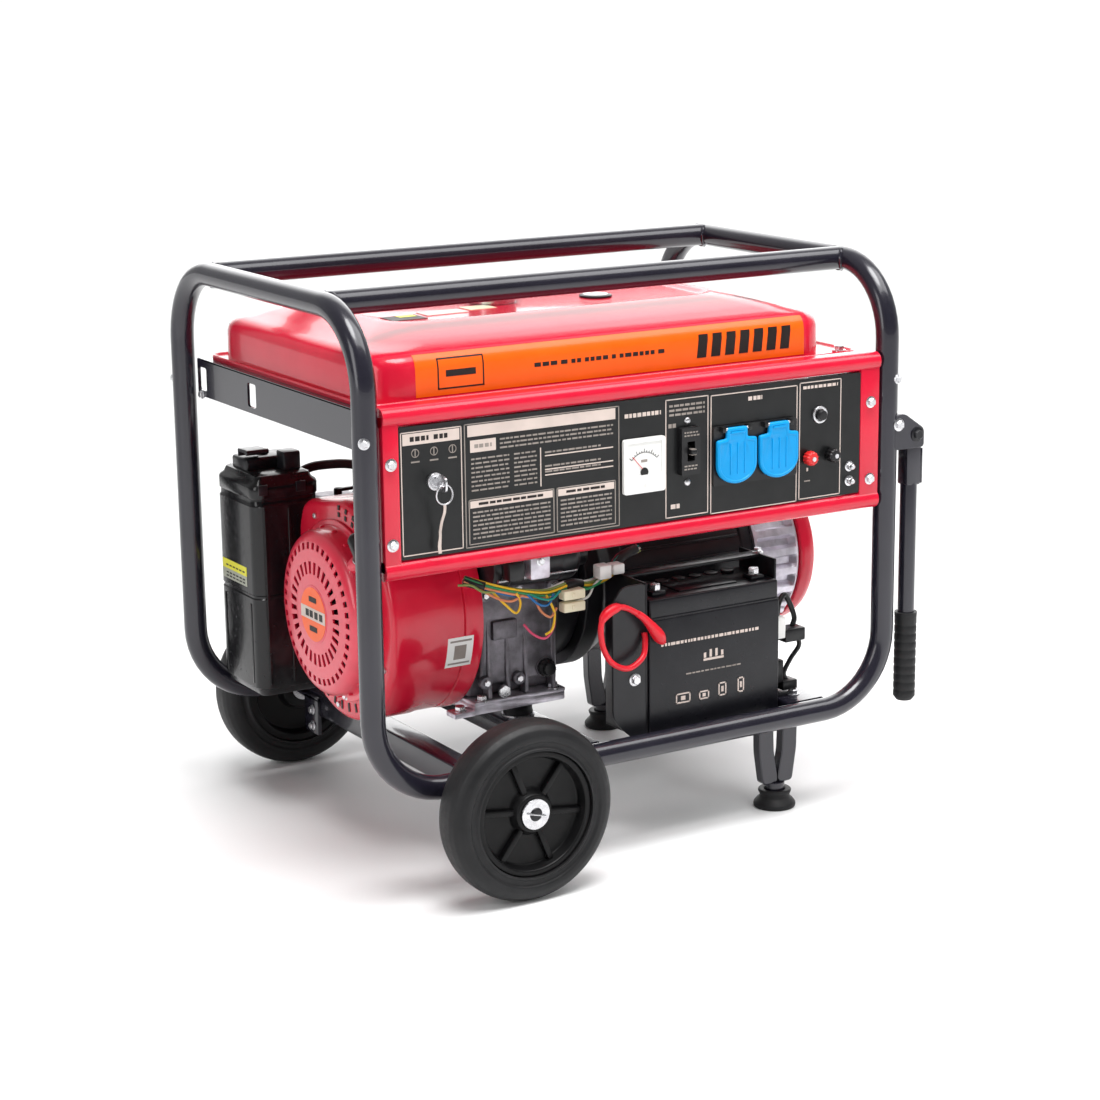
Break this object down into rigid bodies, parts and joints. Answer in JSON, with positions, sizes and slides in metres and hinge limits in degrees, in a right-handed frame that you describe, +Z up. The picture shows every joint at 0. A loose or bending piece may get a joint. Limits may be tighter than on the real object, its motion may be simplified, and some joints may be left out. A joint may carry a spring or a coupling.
{
  "type": "portable generator",
  "caption": "Open-frame wheeled petrol generator with fuel tank, control panel, engine, alternator, starting battery and two folding handles.",
  "frame": {"origin": "centre of the whole generator's bounding box on the floor, with both wheels and both feet on z = 0", "axes": "+X along the crankshaft from the recoil starter towards the alternator end and the folding handles; the control panel faces -Y; +Z up"},
  "size_m": [0.739, 0.62, 0.6525],
  "materials": {
    "frame_paint": "gloss dark grey powder coat",
    "red_paint": "gloss red enamel",
    "rubber": "matt",
    "tyre": "satin solid rubber",
    "black_plastic": "fine grain",
    "panel_black": "satin black with pale printed frames",
    "white_plastic": "gloss",
    "blue_plastic": "satin",
    "red_plastic": "satin",
    "cast_aluminium": "sand cast, satin",
    "steel": "bright zinc plate",
    "black_steel": "satin black"
  },
  "bodies": {
    "chassis": {"left_end_hoop": "frame_paint", "right_end_hoop": "frame_paint", "front_bottom_rail": "frame_paint", "back_bottom_rail": "frame_paint", "front_top_rail": "frame_paint", "back_top_rail": "frame_paint", "engine_cross_member": "frame_paint", "alternator_cross_member": "frame_paint", "front_foot": "rubber", "back_foot": "rubber", "engine_mount_front": "rubber", "engine_mount_back": "rubber", "alternator_mount_front": "rubber", "alternator_mount_back": "rubber", "axle": "frame_paint", "tank_bracket_left": "frame_paint", "tank_bracket_right": "frame_paint", "fuel_tank": "red_paint", "panel_frame": "red_paint", "panel_plate": "panel_black", "voltmeter": "white_plastic", "breaker": "black_plastic", "socket_block": "black_plastic", "crankcase": "cast_aluminium", "cylinder": "cast_aluminium", "blower_housing": "red_paint", "recoil_cover": "red_paint", "air_cleaner": "black_plastic", "carburettor": "cast_aluminium", "muffler": "black_steel", "stator_housing": "black_steel", "end_bell": "cast_aluminium", "end_cover": "red_paint", "battery": "black_plastic", "battery_tray": "black_steel", "positive_cable": "red_plastic", "wiring_harness": "black_plastic", "starter_motor": "black_steel"},
    "front_wheel": {"front_wheel_rim": "black_plastic", "front_wheel_tyre": "tyre"},
    "back_wheel": {"back_wheel_rim": "black_plastic", "back_wheel_tyre": "tyre"},
    "front_handle_arm": {"front_handle": "frame_paint", "front_handle_grip": "rubber"},
    "back_handle_arm": {"back_handle": "frame_paint", "back_handle_grip": "rubber"},
    "filler_cap": {"fuel_cap": "black_plastic"},
    "tap": {"fuel_tap_lever": "black_plastic"},
    "breaker_toggle": {"breaker_lever": "black_plastic"},
    "left_lid": {"left_socket_lid": "blue_plastic"},
    "right_lid": {"right_socket_lid": "blue_plastic"},
    "red_post": {"dc_terminal_red": "red_plastic"},
    "black_post": {"dc_terminal_black": "black_plastic"},
    "reset_button": {"dc_reset_button": "black_plastic"},
    "key": {"ignition_key": "steel"},
    "dipstick": {"oil_dipstick": "black_plastic"},
    "starter_grip": {"pull_handle": "black_plastic"},
    "rotating_assembly": {"crankshaft": "steel"},
    "latch": {"air_cleaner_latch": "steel"},
    "choke": {"choke_lever": "black_plastic"}
  },
  "joints": [
    {"name": "front_wheel_spin", "type": "hinge", "parent": "chassis", "child": "front_wheel", "pos_m": [-0.205, -0.286, 0.1], "axis": [0, 1, 0], "continuous": true},
    {"name": "back_wheel_spin", "type": "hinge", "parent": "chassis", "child": "back_wheel", "pos_m": [-0.205, 0.286, 0.1], "axis": [0, 1, 0], "continuous": true},
    {"name": "front_handle_fold", "type": "hinge", "parent": "chassis", "child": "front_handle_arm", "pos_m": [0.356, -0.229, 0.44], "axis": [0, -1, 0], "range_deg": [0, 90]},
    {"name": "back_handle_fold", "type": "hinge", "parent": "chassis", "child": "back_handle_arm", "pos_m": [0.356, 0.229, 0.44], "axis": [0, -1, 0], "range_deg": [0, 90]},
    {"name": "fuel_cap_turn", "type": "hinge", "parent": "chassis", "child": "filler_cap", "pos_m": [-0.078, -0.01, 0.615], "axis": [0, 0, 1], "range_deg": [0, 90]},
    {"name": "fuel_tap_turn", "type": "hinge", "parent": "chassis", "child": "tap", "pos_m": [-0.233, -0.15, 0.48], "axis": [0, 0, 1], "range_deg": [0, 90]},
    {"name": "breaker_switch", "type": "hinge", "parent": "chassis", "child": "breaker_toggle", "pos_m": [0.037, -0.234, 0.456], "axis": [1, 0, 0], "range_deg": [-25, 25]},
    {"name": "left_lid_lift", "type": "hinge", "parent": "chassis", "child": "left_lid", "pos_m": [0.098, -0.2435, 0.475], "axis": [-1, 0, 0], "range_deg": [0, 120], "stiffness_Nm_per_rad": 0.02, "springref_deg": -17.19},
    {"name": "right_lid_lift", "type": "hinge", "parent": "chassis", "child": "right_lid", "pos_m": [0.1555, -0.2435, 0.475], "axis": [-1, 0, 0], "range_deg": [0, 120], "stiffness_Nm_per_rad": 0.02, "springref_deg": -17.19},
    {"name": "red_post_turn", "type": "hinge", "parent": "chassis", "child": "red_post", "pos_m": [0.202, -0.243, 0.429], "axis": [0, 1, 0], "continuous": true},
    {"name": "black_post_turn", "type": "hinge", "parent": "chassis", "child": "black_post", "pos_m": [0.234, -0.243, 0.429], "axis": [0, 1, 0], "continuous": true},
    {"name": "reset_press", "type": "slide", "parent": "chassis", "child": "reset_button", "axis": [0, 1, 0], "range_m": [0, 0.004], "stiffness_N_per_m": 300, "springref_m": -0.002},
    {"name": "key_turn", "type": "hinge", "parent": "chassis", "child": "key", "pos_m": [-0.28, -0.24, 0.459], "axis": [0, 1, 0], "range_deg": [-45, 45]},
    {"name": "dipstick_turn", "type": "hinge", "parent": "chassis", "child": "dipstick", "pos_m": [-0.072, -0.11, 0.194], "axis": [0, 1, 0], "continuous": true},
    {"name": "recoil_pull", "type": "slide", "parent": "chassis", "child": "starter_grip", "axis": [0, -0.7071, 0.7071], "range_m": [0, 0.12], "stiffness_N_per_m": 60, "springref_m": -0.05},
    {"name": "crankshaft_spin", "type": "hinge", "parent": "chassis", "child": "rotating_assembly", "pos_m": [-0.018, -0.008, 0.27], "axis": [1, 0, 0], "continuous": true},
    {"name": "latch_lift", "type": "hinge", "parent": "chassis", "child": "latch", "pos_m": [-0.308, 0.14, 0.43], "axis": [1, 0, 0], "range_deg": [0, 70]},
    {"name": "choke_turn", "type": "hinge", "parent": "chassis", "child": "choke", "pos_m": [-0.203, 0.146, 0.37], "axis": [0, 0, 1], "range_deg": [0, 40]}
  ]
}
